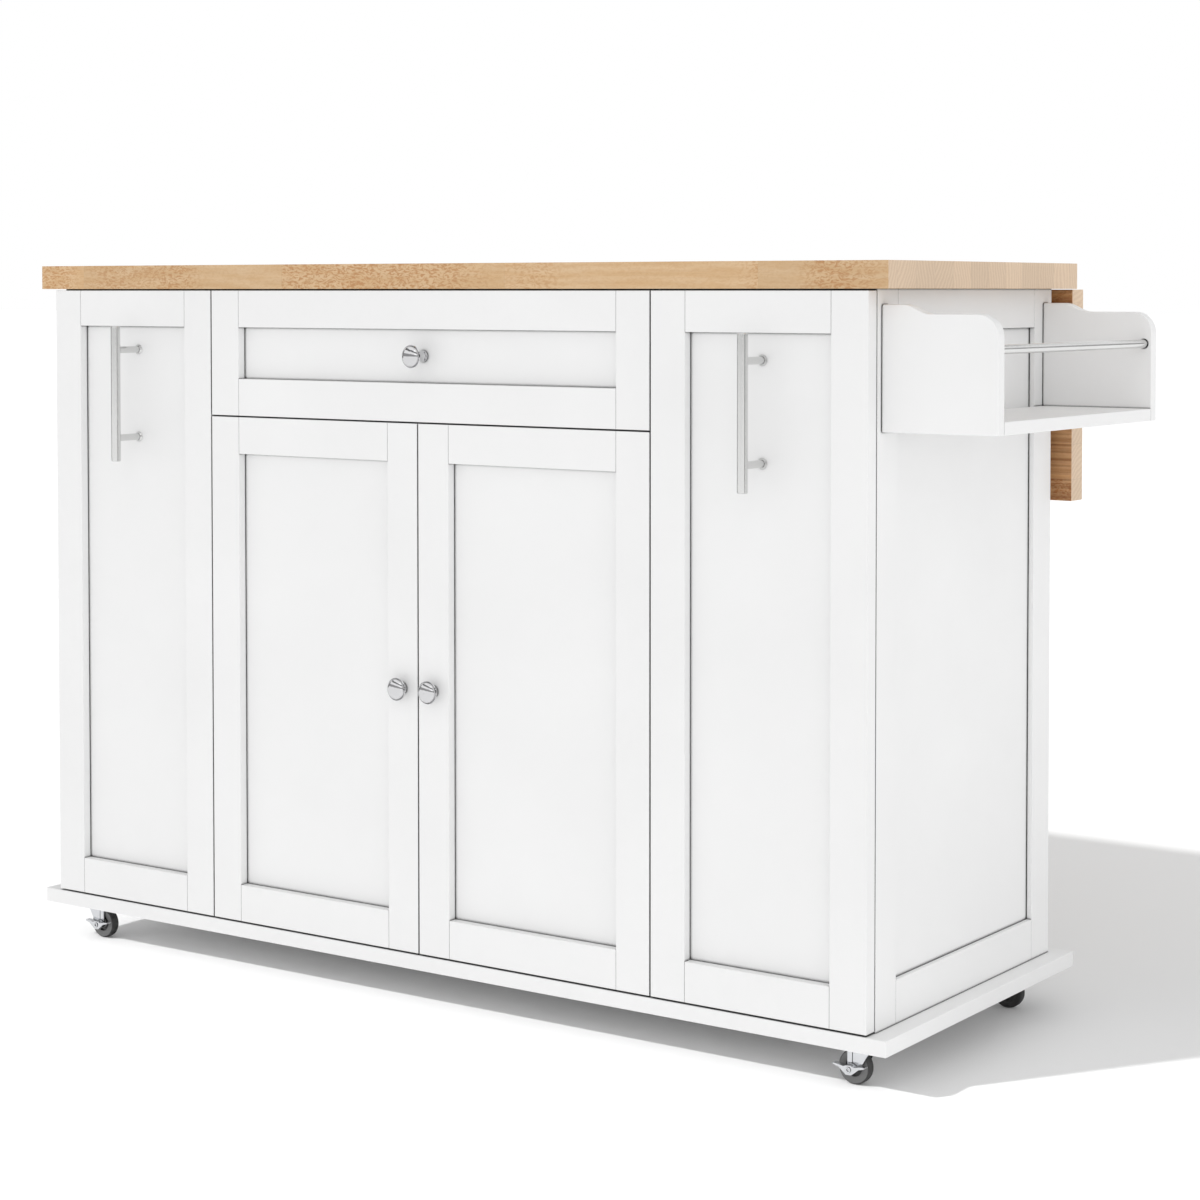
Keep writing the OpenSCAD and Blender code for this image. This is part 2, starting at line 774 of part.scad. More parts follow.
// Hinge cups let into the back of the door stile, each with an ear above and below
module door_cups(side) {
    flange_w = 22;
    flange_y = [front_back_y, front_back_y + 1];
    color("silver") placed() on_side(side) for (z = door_hinges)
        translate([door_x1 - cup_inset, 0, z]) difference() {
            union() {
                rod_y(cup_d / 2, front_back_y - cup_depth, front_back_y);
                intersection() {
                    rod_y(cup_flange_h / 2, flange_y[0], flange_y[1]);
                    board([-flange_w / 2, flange_w / 2], flange_y,
                        [-cup_flange_h / 2, cup_flange_h / 2]);
                }
            }
            rod_y(cup_d / 2 - 1.5, front_back_y - cup_depth + 1.5, flange_y[1] + 1);
        }
}

module door_left_frame() { door_frame(LEFT); }
module door_left_infill() { door_infill(LEFT); }
module door_left_knob() { door_knob(LEFT); }
module door_left_cups() { door_cups(LEFT); }
module door_right_frame() { door_frame(RIGHT); }
module door_right_infill() { door_infill(RIGHT); }
module door_right_knob() { door_knob(RIGHT); }
module door_right_cups() { door_cups(RIGHT); }

// ---- Drawer ----

module drawer_frame() {
    color("white") placed() shaker_frame(-door_x1, door_x1, drawer_z0, front_z1);
}

module drawer_infill() {
    color("white") placed() shaker_infill(-door_x1, door_x1, drawer_z0, front_z1);
}

module drawer_knob() {
    color("gainsboro") placed() knob(0, panel_y, drawer_mid_z, drawer_knob_reach);
}

// Open box of four walls round a bottom, each board a piece of its own
module open_box(x, y, z, h) {
    board(x, [y[0], y[0] + wall_t], [z, z + h]);
    board(x, [y[1] - wall_t, y[1]], [z, z + h]);
    side_y = [y[0] + wall_t + joint_line, y[1] - wall_t - joint_line];
    board([x[0], x[0] + wall_t], side_y, [z, z + h]);
    board([x[1] - wall_t, x[1]], side_y, [z, z + h]);
    board([x[0] + wall_t + joint_line, x[1] - wall_t - joint_line], side_y, [z, z + floor_t]);
}

module drawer_box() {
    color("white") placed()
        open_box([-drawer_half, drawer_half], [front_back_y, slide_y1], drawer_box_z0,
            drawer_box_h);
}

module drawer_slides() {
    color("silver") placed() for (side = [LEFT, RIGHT]) on_side(side)
        inner_member(drawer_half, drawer_slide_z, 1);
}

// ---- Pull-outs ----

module pullout_frame(side) {
    color("white") placed() on_side(side) shaker_frame(pull_x0, pull_x1, front_z0, front_z1);
}

module pullout_infill(side) {
    color("white") placed() on_side(side) shaker_infill(pull_x0, pull_x1, front_z0, front_z1);
}

module pullout_handle(side) {
    color("silver") placed() on_side(side) bar_handle(pull_mid_x, front_z1 - bar_drop);
}

// Three trays tied by a tall back board
module pullout_trays(side) {
    tray_back = slide_y1 - wall_t - joint_line;
    tie_z1 = tray_z[2] + tray_wall_h + guard_rise + 20;
    color("white") placed() on_side(side) {
        for (z = tray_z) open_box([tray_x0, tray_x1], [front_back_y, tray_back], z, tray_wall_h);
        board([tray_x0, tray_x1], [slide_y1 - wall_t, slide_y1], [tray_z[0], tie_z1]);
    }
}

// Guard rods from the front to the back board, above each tray wall
module pullout_guards(side) {
    color("silver") placed() on_side(side) for (z = tray_z)
        for (x = [tray_x0 + guard_x, tray_x1 - guard_x])
            translate([x, 0, z + tray_wall_h + guard_rise])
                rod_y(guard_d / 2, front_back_y, slide_y1 - wall_t);
}

module pullout_slides(side) {
    color("silver") placed() on_side(side) for (z = tray_slide_z) {
        inner_member(tray_x0, z, -1);
        inner_member(tray_x1, z, 1);
    }
}

module pullout_left_frame() { pullout_frame(LEFT); }
module pullout_left_infill() { pullout_infill(LEFT); }
module pullout_left_handle() { pullout_handle(LEFT); }
module pullout_left_trays() { pullout_trays(LEFT); }
module pullout_left_guards() { pullout_guards(LEFT); }
module pullout_left_slides() { pullout_slides(LEFT); }
module pullout_right_frame() { pullout_frame(RIGHT); }
module pullout_right_infill() { pullout_infill(RIGHT); }
module pullout_right_handle() { pullout_handle(RIGHT); }
module pullout_right_trays() { pullout_trays(RIGHT); }
module pullout_right_guards() { pullout_guards(RIGHT); }
module pullout_right_slides() { pullout_slides(RIGHT); }

// ---- Casters ----

// Moves what is modelled round a right-hand swivel axis to its corner
module at_caster(side, row) {
    on_side(side) translate([swivel_x, swivel_y[row], 0]) children();
}

// Mounting plate, ball race and king pin
module caster_plates() {
    race_z = caster_h - caster_sheet - race_h;
    color("silver") placed() for (side = [LEFT, RIGHT], row = [0, 1]) at_caster(side, row) {
        translate([-plate_w / 2, -plate_w / 2, caster_h - caster_sheet])
            cube([plate_w, plate_w, caster_sheet]);
        translate([0, 0, race_z]) cylinder(r1 = 13, r2 = 16, h = race_h);
        translate([0, 0, crown_z0 - 0.5]) cylinder(r = axle_r, h = race_z - crown_z0 + 1);
    }
}

// L-shaped slit that frees a spring tongue in the outer leg of a fork
module tongue_slit() {
    slit_w = 1;
    slit_x1 = leg_x0 + 7.2;
    slit_z1 = crown_z0 - 0.8;
    y = [-leg_y - caster_sheet - 1, -leg_y + 1];
    board([slit_x1 - slit_w, slit_x1], y, [wheel_r + eye_r, slit_z1]);
    board([slit_x1 - 4.5, slit_x1], y, [slit_z1 - slit_w, slit_z1]);
}

// Raked fork: crown on the king pin, two legs, and the axle with peened ends
module fork(side, row) {
    axle_y = [-leg_y - caster_sheet - axle_end[row], leg_y + caster_sheet + 1.5];
    peen_r = 1.9;
    peen_d = 0.8;
    color("silver") placed() at_caster(side, row) {
        difference() {
            union() {
                translate([0, 0, crown_z0]) cylinder(r = 13, h = crown_t);
                translate([leg_x0, -leg_y - caster_sheet, crown_z0])
                    cube([leg_x1 - leg_x0, 2 * (leg_y + caster_sheet), crown_t]);
            }
            translate([0, 0, crown_z0 - 1]) cylinder(r = axle_r + run_fit, h = crown_t + 2);
        }
        difference() {
            for (y = [-leg_y, leg_y + caster_sheet])
                translate([0, y, 0]) rotate([90, 0, 0]) linear_extrude(height = caster_sheet) {
                    polygon([[leg_x0, crown_z1], [leg_x1, crown_z1], [1, wheel_r + 5],
                        [-caster_trail + eye_r, wheel_r], [leg_x0, wheel_r]]);
                    translate([-caster_trail, wheel_r]) circle(r = eye_r);
                }
            tongue_slit();
        }
        translate([-caster_trail, 0, wheel_r]) difference() {
            rod_y(axle_r, axle_y[0], axle_y[1]);
            rod_y(peen_r, axle_y[0] - 1, axle_y[0] + peen_d);
            rod_y(peen_r, axle_y[1] - peen_d, axle_y[1] + 1);
        }
    }
}

// Wheel turned about its axle: rounded tread, a deep ring round the hub on either face
module wheel(side, row) {
    w = wheel_w / 2;
    bore = axle_r + run_fit;
    hub_r = 6.5;
    ring_r = 10.8;
    ring_d = 3;
    half = [[bore, w + 1], [hub_r, w + 1], [hub_r, w - ring_d], [ring_r, w - ring_d],
        [ring_r, w - 0.6], [wheel_r - 5, w], [wheel_r - 1.6, w], [wheel_r - 0.4, w - 1.4],
        [wheel_r, w - 3.4]];
    other = [for (k = [len(half) - 1 : -1 : 0]) [half[k][0], -half[k][1]]];
    color("dimgray") placed() at_caster(side, row)
        translate([-caster_trail, 0, wheel_r]) rotate([90, 0, 0]) rotate_extrude()
            polygon(concat(half, other));
}

// Two-winged rocker on the front end of the axle
module brake_lever(side) {
    lever_y = -leg_y - caster_sheet - air;
    color("silver") placed() at_caster(side, 0)
        translate([-caster_trail, lever_y, wheel_r]) difference() {
            union() {
                rod_y(eye_r, -lever_w / 2, 0);
                rotate([90, 0, 0]) linear_extrude(height = lever_w) polygon([
                    [-20.5, 5.2], [-20, 3.4], [-13, 1.6], [-8, -2.5], [-3.5, -6], [3.5, -6],
                    [8, -2.5], [13, 1.6], [20, 3.4], [20.5, 5.2], [13, 4.4], [7, 3.2],
                    [3, 4.6], [-3, 4.6], [-7, 3.2], [-13, 4.4]]);
            }
            rod_y(axle_r + run_fit, -lever_w - 1, 1);
        }
}

module fork_front_left() { fork(LEFT, 0); }
module fork_front_right() { fork(RIGHT, 0); }
module fork_rear_left() { fork(LEFT, 1); }
module fork_rear_right() { fork(RIGHT, 1); }
module wheel_front_left() { wheel(LEFT, 0); }
module wheel_front_right() { wheel(RIGHT, 0); }
module wheel_rear_left() { wheel(LEFT, 1); }
module wheel_rear_right() { wheel(RIGHT, 1); }
module brake_left() { brake_lever(LEFT); }
module brake_right() { brake_lever(RIGHT); }

worktop();
base_board();
side_frames();
side_infills();
partitions();
back_panels();
stretchers();
drawer_divider();
centre_shelf();
shelf_pins();
rack_boards();
towel_bar();
slide_runners();
slide_packers();
hinge_arms();
leaf_hinge_plates();
stay_feet();
caster_plates();
drop_leaf();
leaf_hinge_flaps();
stay_heads();
stay_arm_left();
stay_arm_right();
stay_link_left();
stay_link_right();
door_left_frame();
door_left_infill();
door_left_knob();
door_left_cups();
door_right_frame();
door_right_infill();
door_right_knob();
door_right_cups();
drawer_frame();
drawer_infill();
drawer_knob();
drawer_box();
drawer_slides();
pullout_left_frame();
pullout_left_infill();
pullout_left_handle();
pullout_left_trays();
pullout_left_guards();
pullout_left_slides();
pullout_right_frame();
pullout_right_infill();
pullout_right_handle();
pullout_right_trays();
pullout_right_guards();
pullout_right_slides();
fork_front_left();
fork_front_right();
fork_rear_left();
fork_rear_right();
wheel_front_left();
wheel_front_right();
wheel_rear_left();
wheel_rear_right();
brake_left();
brake_right();
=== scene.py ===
"""Looks of the drop leaf kitchen island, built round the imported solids."""
import math

import bpy
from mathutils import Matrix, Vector


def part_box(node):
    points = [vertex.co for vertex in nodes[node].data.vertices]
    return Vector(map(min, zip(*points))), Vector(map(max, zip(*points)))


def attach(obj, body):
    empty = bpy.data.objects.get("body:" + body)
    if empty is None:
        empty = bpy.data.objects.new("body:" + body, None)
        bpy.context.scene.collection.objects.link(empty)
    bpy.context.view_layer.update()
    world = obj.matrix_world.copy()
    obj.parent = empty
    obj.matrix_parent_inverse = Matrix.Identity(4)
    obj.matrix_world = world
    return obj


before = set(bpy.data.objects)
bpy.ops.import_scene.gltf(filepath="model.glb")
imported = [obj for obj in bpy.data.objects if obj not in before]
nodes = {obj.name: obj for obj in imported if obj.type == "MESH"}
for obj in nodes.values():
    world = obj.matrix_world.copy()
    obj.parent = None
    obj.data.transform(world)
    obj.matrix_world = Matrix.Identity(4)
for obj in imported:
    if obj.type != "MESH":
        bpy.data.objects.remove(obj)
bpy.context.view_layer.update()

top_low, top_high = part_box("worktop")
MIDDLE, FRONT = (top_low.x + top_high.x) / 2, top_low.y


def at(x, y, z):
    """A place given in cabinet millimetres, in the frame's metres.

    x counts from the cabinet's middle, y from the worktop's front edge, z from the floor.
    """
    return Vector((MIDDLE + x / 1000, FRONT + y / 1000, z / 1000))


def grey(v):
    return (v, v, v, 1.0)


# ---- Node graphs ----

class Graph:
    """A material's node tree, built with one short call a node."""

    def __init__(self, name):
        self.material = bpy.data.materials.new(name)
        self.material.use_nodes = True
        self.tree = self.material.node_tree
        self.bsdf = self.tree.nodes["Principled BSDF"]
        self.coords = self.tree.nodes.new("ShaderNodeTexCoord").outputs

    def add(self, kind, inputs=(), **settings):
        n = self.tree.nodes.new("ShaderNode" + kind)
        for k, v in settings.items():
            setattr(n, k, v)
        self.feed(n, inputs)
        return n.outputs

    def feed(self, n, inputs):
        """Links each input to a socket, or sets it to a value."""
        for k, v in dict(inputs).items():
            if isinstance(v, bpy.types.NodeSocket):
                self.tree.links.new(v, n.inputs[k])
            else:
                n.inputs[k].default_value = v

    def math(self, op, a, b=0.0):
        return self.add("Math", {0: a, 1: b}, operation=op)[0]

    def vec(self, op, a, b=(0, 0, 0)):
        return self.add("VectorMath", {0: a, 1: b}, operation=op)

    def scaled(self, v, s):
        return self.vec("MULTIPLY", v, s)[0]

    def length(self, v):
        return self.vec("LENGTH", v)[1]

    def point(self, *xyz):
        return self.add("CombineXYZ", dict(enumerate(xyz)))[0]

    def noise(self, v, scale, detail=3.0, distortion=0.0):
        return self.add("TexNoise", {"Vector": v, "Scale": scale, "Detail": detail,
                                     "Distortion": distortion})[0]

    def spread(self, value, low, high, to_low=0.0, to_high=1.0):
        return self.add("MapRange", {0: value, 1: low, 2: high, 3: to_low, 4: to_high})[0]

    def mix(self, factor, a, b, blend="MIX"):
        n = self.tree.nodes.new("ShaderNodeMix")
        n.data_type, n.blend_type = "RGBA", blend
        self.feed(n, {0: factor, 6: a, 7: b})
        return n.outputs[2]

    def tinted(self, colour, value):
        """The colour times a grey value."""
        shade = self.add("CombineColor", {0: value, 1: value, 2: value})[0]
        return self.mix(1.0, colour, shade, "MULTIPLY")

    def painted_shade(self, reach, dark):
        """Painted shade: 1 in the open, down to dark where another face is within reach, so
        corners, gaps and recesses darken as shade would.
        """
        open_sky = self.add("AmbientOcclusion", {"Distance": reach}, samples=6)["AO"]
        return self.spread(open_sky, 0.46, 0.88, dark, 1.0)

    def bump(self, height, strength, distance):
        return self.add("Bump", {"Height": height, "Strength": strength,
                                 "Distance": distance})[0]

    def surface(self, **inputs):
        """Feeds the shader's sockets, whose names have spaces for underscores."""
        self.feed(self.bsdf, {k.replace("_", " "): v for k, v in inputs.items()})
        return self.material


# ---- Lacquer ----

def lacquer(name, low, high, reach):
    """Sprayed white lacquer: faint cloudiness, orange peel and uneven gloss."""
    g = Graph(name)
    p = g.coords["Object"]
    cloud = g.noise(p, 5.0, 4.0)
    paint = g.mix(g.spread(cloud, 0.3, 0.7), grey(low), grey(high))
    orange_peel = g.noise(p, 650.0, 2.0)
    return g.surface(
        # The base colour carries painted shade in corners and gaps, down to 0.05 of the paint.
        Base_Color=g.tinted(paint, g.painted_shade(reach, 0.05)),
        Roughness=g.spread(g.noise(p, 30.0, 5.0), 0.3, 0.7, 0.36, 0.5),
        Normal=g.bump(orange_peel, 0.12, 0.0002))


# ---- Wood ----

STAVE_W, BLOCK_L = 0.0443, 0.36     # metres
RING_PALE, RING_DARK = (0.655, 0.45, 0.255, 1), (0.60, 0.385, 0.195, 1)
CREAM, FLECK = (0.69, 0.50, 0.31, 1), (0.49, 0.245, 0.095, 1)
END_PALE, END_DARK, PORE = (0.75, 0.58, 0.42, 1), (0.63, 0.455, 0.31, 1), (0.45, 0.31, 0.21, 1)
# The next multipliers paint shade on the wood's faces that look along -Y: the streaks follow the
# grain, the darkening is painted shade.
UNDERSIDE_SHADE = (1.0, 0.83, 0.69, 1), (0.55, 0.37, 0.25, 1)     # multipliers of the colour
RINGS = 1000.0                      # radians a metre
TREE_Y, TREE_Z = (0.32, 0.6), (-1.02, -0.80)    # range of the pith's place beside a block
SWAY, WAVER, WANDER = 0.011, 0.0007, 0.0035     # how far rings and flecks stray, in metres


def butcher_block(name, across, underside_shade=None):
    """Edge-glued staves along X, each of shorter blocks; across is the axis over the staves."""
    g = Graph(name)
    sep = g.add("SeparateXYZ", {0: g.coords["Object"]})
    x, y, z = (sep[0], sep[1], sep[2]) if across == "Y" else (sep[0], sep[2], sep[1])

    def grained(along, over, seed=0.0, place=(y, z)):
        """The place at one rate along the grain and another over it."""
        return g.point(g.math("MULTIPLY", x, along), g.math("MULTIPLY", place[0], over),
                       g.math("ADD", g.math("MULTIPLY", place[1], over), seed))

    row = g.math("DIVIDE", y, STAVE_W)
    stave = g.math("FLOOR", row)
    shift = g.add("TexWhiteNoise", {"W": stave}, noise_dimensions="1D")[0]
    col = g.math("ADD", g.math("DIVIDE", x, BLOCK_L), g.math("MULTIPLY", shift, 7.3))
    block = g.math("FLOOR", col)
    rnd = g.add("SeparateColor", {0: g.add("TexWhiteNoise", {0: g.point(stave, block, 0.5)})[1]})
    own = g.math("MULTIPLY", rnd[2], 40.0)

    # Growth rings round a pith that lies beside each block and a little askew to it
    askew = g.math("MULTIPLY", x, g.spread(rnd[0], 0, 1, -0.07, 0.07))
    lean = g.math("MULTIPLY", x, g.spread(rnd[1], 0, 1, -0.05, 0.05))
    ry = g.math("ADD", g.math("ADD", y, askew), g.spread(rnd[1], 0, 1, *TREE_Y))
    rz = g.math("ADD", g.math("ADD", z, lean), g.spread(rnd[2], 0, 1, *TREE_Z))
    radius = g.length(g.point(0.0, ry, rz))
    sway = g.noise(grained(2.4, 9.0, own), 1.0, 3.0, 0.5)
    radius = g.math("ADD", radius, g.spread(sway, 0.2, 0.8, -SWAY, SWAY))
    waver = g.noise(grained(9.0, 110.0, own), 1.0, 2.0)
    radius = g.math("ADD", radius, g.spread(waver, 0.3, 0.7, -WAVER, WAVER))
    ring = g.spread(g.math("SINE", g.math("MULTIPLY", radius, RINGS)), -1, 1)

    # Flecks: short strokes along X, thick in some stretches and rare in others
    wander = g.noise(grained(60.0, 60.0, own), 1.0, 2.0)
    stroke_y = g.math("ADD", y, g.spread(wander, 0.3, 0.7, WANDER, -WANDER))
    stroke_z = g.math("ADD", z, g.spread(wander, 0.3, 0.7, -WANDER, WANDER))
    stroke = g.noise(grained(125.0, 500.0, place=(stroke_y, stroke_z)), 1.0, 1.0, 0.15)
    stretch = g.noise(g.point(g.math("MULTIPLY", x, 5.5), g.math("MULTIPLY", stave, 3.7), own),
                      1.0, 1.0)
    fleck = g.math("MULTIPLY", g.spread(stroke, 0.45, 0.62),
                   g.spread(stretch, 0.42, 0.58, 0.20, 1.0))

    # Colour of the long faces, and of the end grain on the faces that look along X
    fibre = g.noise(grained(16.0, 800.0), 1.0, 2.0)
    cream = g.noise(grained(14.0, 90.0), 1.0, 2.0, 0.4)
    long_grain = g.mix(g.math("MULTIPLY", ring, 0.75), RING_PALE, RING_DARK)
    long_grain = g.mix(g.spread(cream, 0.45, 0.75, 0, 0.6), long_grain, CREAM)
    long_grain = g.mix(g.math("MULTIPLY", fleck, 0.95), long_grain, FLECK)
    end_grain = g.mix(g.math("MULTIPLY", ring, 0.6), END_PALE, END_DARK)
    pore = g.noise(g.coords["Object"], 900.0, 2.0)
    end_grain = g.mix(g.spread(pore, 0.55, 0.75, 0, 0.3), end_grain, PORE)
    facing = g.vec("ABSOLUTE", g.coords["Normal"])[0]
    end = g.spread(g.add("SeparateXYZ", {0: facing})[0], 0.6, 0.8)
    wood = g.mix(end, long_grain, end_grain)
    # Painted shade: faces that look along -Y are multiplied darker, in streaks that follow the
    # grain.
    if underside_shade is not None:
        hidden = g.add("SeparateXYZ", {0: g.coords["Normal"]})[1]
        lines = g.noise(grained(3.0, 210.0, own), 1.0, 3.0, 0.3)
        shade = g.mix(g.spread(lines, 0.35, 0.65), *underside_shade)
        wood = g.mix(g.spread(hidden, -0.6, -0.8), wood, shade, "MULTIPLY")

    # Each block's own tone, the fibres, and glue lines between staves and blocks
    differ = g.math("MULTIPLY", g.spread(rnd[0], 0, 1, -0.09, 0.08),
                    g.spread(end, 0, 1, 1, 0.6))
    tone = g.math("MULTIPLY", g.math("ADD", differ, 1.0),
                  g.spread(fibre, 0.3, 0.7, 0.965, 1.03))
    gy = g.math("ABSOLUTE", g.math("SUBTRACT", g.math("FRACT", row), 0.5))
    gx = g.math("ABSOLUTE", g.math("SUBTRACT", g.math("FRACT", col), 0.5))
    glue = g.math("MAXIMUM", g.spread(gy, 0.493, 0.497), g.spread(gx, 0.4994, 0.4998))
    tone = g.math("MULTIPLY", tone, g.spread(glue, 0, 1, 1, 0.84))
    relief = g.math("SUBTRACT", fibre, g.math("MULTIPLY", fleck, 0.5))
    return g.surface(
        # The tone also carries painted shade in corners and gaps.
        Base_Color=g.tinted(wood, g.math("MULTIPLY", tone, g.painted_shade(0.004, 0.25))),
        Roughness=g.spread(fibre, 0.3, 0.7, 0.42, 0.56),
        Normal=g.bump(relief, 0.25, 0.0003))


# ---- Metal, rubber and plastic ----

def metal(name, tint, rough, brush, scale, depth, dark):
    """Metal whose fine scratches run along the axis with the smallest brush factor."""
    g = Graph(name)
    lines = g.noise(g.scaled(g.coords["Object"], brush), scale, 3.0)
    haze = g.noise(g.coords["Object"], 9.0, 2.0)
    low = [c * 0.96 for c in tint]
    plate = g.mix(g.spread(haze, 0.3, 0.7), (*low, 1), (*tint, 1))
    return g.surface(
        Metallic=1.0,
        # The base colour carries painted shade in corners and gaps, down to dark.
        Base_Color=g.tinted(plate, g.painted_shade(0.002, dark)),
        Roughness=g.spread(lines, 0.3, 0.7, rough * 0.85, rough * 1.15),
        Normal=g.bump(lines, depth, 0.0001))


# Radii where a wheel changes, as shares of its diameter, and the tones of its parts; the ring's
# near black is painted shade of a groove
HUB_R, RING_R, TREAD_R = (0.16, 0.17), (0.265, 0.275), (0.455, 0.47)
HUB_TONE, RING_SHADE_TONE, TREAD_TONE = 0.30, 0.02, 0.022


def wheel_material(name, disc):
    """Hub, a ring painted near black as the shade of a groove, moulded disc and darker tread, by
    distance from the axle.
    """
    g = Graph(name)
    flat = g.vec("SUBTRACT", g.coords["Generated"], (0.5, 0.5, 0.5))[0]
    r = g.length(g.scaled(flat, (1, 0, 1)))
    grain = g.noise(g.coords["Object"], 900.0, 3.0)
    dust = g.spread(g.noise(g.coords["Object"], 60.0, 5.0), 0.4, 0.75)
    tread = g.spread(r, *TREAD_R)
    body = g.mix(g.spread(r, *HUB_R), grey(HUB_TONE), grey(RING_SHADE_TONE))
    body = g.mix(g.spread(r, *RING_R), body, grey(disc))
    body = g.mix(tread, body, grey(TREAD_TONE))
    body = g.mix(g.math("MULTIPLY", dust, 0.12), body, grey(disc * 1.6))
    return g.surface(
        # The base colour carries painted shade in corners and gaps.
        Base_Color=g.tinted(body, g.painted_shade(0.003, 0.3)),
        Roughness=g.spread(tread, 0, 1, 0.42, 0.66),
        Normal=g.bump(grain, 0.2, 0.0002))


def plastic(name, tone):
    """Soft clear-grey plastic with a moulded grain."""
    g = Graph(name)
    grain = g.noise(g.coords["Object"], 1400.0, 2.0)
    return g.surface(
        Base_Color=g.mix(grain, grey(tone * 0.92), grey(tone)),
        Roughness=g.spread(grain, 0.3, 0.7, 0.25, 0.4),
        Normal=g.bump(grain, 0.15, 0.0001))


# reach is how far the painted shade spreads from corners and gaps.
WHITE = lacquer("white_lacquer", low=0.845, high=0.875, reach=0.003)
PANEL = lacquer("white_panel", low=0.85, high=0.875, reach=0.0042)
TOP = butcher_block("butcher_block", "Y")
LEAF = butcher_block("butcher_block_leaf", "Z", UNDERSIDE_SHADE)
# dark is how deep the painted shade goes in each metal's corners and gaps.
NICKEL = {"tint": (0.69, 0.69, 0.685), "rough": 0.18, "scale": 300.0, "depth": 0.02, "dark": 0.35}
SATIN = metal("satin_nickel", brush=(1, 1, 0.02), **NICKEL)
SATIN_Y = metal("satin_nickel_along", brush=(1, 0.02, 1), **NICKEL)
ZINC = metal("bright_zinc", (0.64, 0.65, 0.67), rough=0.15, brush=(1, 0.1, 1),
             scale=150.0, depth=0.03, dark=0.12)
CHROME = metal("polished_chrome", (0.62, 0.62, 0.63), rough=0.06, brush=(1, 1, 1),
               scale=500.0, depth=0.01, dark=0.2)
TYRE = wheel_material("wheel_rubber", disc=0.16)
# A darker copy of the same rubber for the rear wheels: painted shade, as they stand in the
# cabinet's shadow.
TYRE_SHADED = wheel_material("wheel_rubber_shaded", disc=0.018)
SILICONE = plastic("bumper_plastic", 0.55)

PLATED_NAMES = ("slide_runners", "hinge_arms", "shelf_pins")
PLATED_STARTS = ("stay_", "fork_", "brake_", "leaf_hinge", "caster_")
PLATED_ENDS = ("_slides", "_cups")


def cad_material(name):
    if name == "worktop":
        return TOP
    if name == "drop_leaf":
        return LEAF
    if name.startswith("wheel_"):
        # Rear wheels take the darker copy, whose darkness is painted shade.
        return TYRE_SHADED if "rear" in name else TYRE
    if name.endswith(("_knob", "_guards")):
        return CHROME
    if name.endswith("_handle"):
        return SATIN
    if name == "towel_bar":
        return SATIN_Y
    if name in PLATED_NAMES or name.startswith(PLATED_STARTS) or name.endswith(PLATED_ENDS):
        return ZINC
    return PANEL if "infill" in name or "back" in name else WHITE


# ---- Edges of the solids ----

# Edge radii in millimetres: the nodes that differ, and all other white boards
EDGES = {"worktop": 1.4, "drop_leaf": 1.4, "base_board": 1.0, "rack_boards": 2.2}
EDGE = 0.5


def ease_edges(o, width):
    """Joins the split corners, drops the flat faces' triangles and rounds the edges."""
    weld = o.modifiers.new("weld", "WELD")
    weld.merge_threshold = 0.00001
    flat = o.modifiers.new("flat", "DECIMATE")
    flat.decimate_type, flat.angle_limit = "DISSOLVE", math.radians(1)
    bevel = o.modifiers.new("edges", "BEVEL")
    bevel.width, bevel.segments = width / 1000, 3
    bevel.limit_method, bevel.angle_limit = "ANGLE", math.radians(40)
    bevel.use_clamp_overlap = True


def round_off(o):
    """Joins the split corners of metal and rubber and shades the round faces smoothly."""
    weld = o.modifiers.new("weld", "WELD")
    weld.merge_threshold = 0.000001
    split = o.modifiers.new("sharp", "EDGE_SPLIT")
    split.split_angle = math.radians(32)
    o.modifiers.new("smooth", "WEIGHTED_NORMAL")


for name, o in nodes.items():
    material = cad_material(name)
    o.data.materials.clear()
    o.data.materials.append(material)
    if name in EDGES:
        ease_edges(o, EDGES[name])
    elif material in (WHITE, PANEL):
        ease_edges(o, EDGE)
    elif not name.startswith("leaf_hinge"):     # joining corners would open their meshes
        round_off(o)


# ---- Screws and bumpers ----

def mesh_object(name, verts, faces, material):
    mesh = bpy.data.meshes.new(name)
    mesh.from_pydata(verts, [], faces)
    mesh.materials.append(material)
    o = bpy.data.objects.new(name, mesh)
    bpy.context.collection.objects.link(o)
    return o


def cross(half, reach):
    """Outline of a cross recess, anticlockwise from the +X arm."""
    arm = [(reach, -half), (reach, half), (half, half)]
    points = []
    for _ in range(4):
        points += arm
        arm = [(-y, x) for x, y in arm]
    return points


def screw_rings(rise):
    """Rings of a screw head of radius 1, from its rim inwards to the floor of its recess."""
    edge, bottom = cross(0.13, 0.55), cross(0.09, 0.40)
    turns = [math.atan2(y, x) for x, y in edge]
    rim = [(math.cos(a), math.sin(a)) for a in turns]
    return [[(x, y, 0.0) for x, y in rim],
            [(x * 0.97, y * 0.97, rise * 0.6) for x, y in rim],
            [(x * 0.80, y * 0.80, rise) for x, y in rim],
            [(x, y, rise) for x, y in edge],
            [(x, y, rise * 0.2 - 0.1) for x, y in bottom]]


def disc_rings(rise):
    """Rings of a round pad of radius 1 with an eased edge."""
    rim = [(math.cos(k * math.pi / 12), math.sin(k * math.pi / 12)) for k in range(24)]
    return [[(x * s, y * s, h * rise) for x, y in rim]
            for s, h in ((1.0, 0.0), (1.0, 0.6), (0.94, 0.9), (0.8, 1.0))]


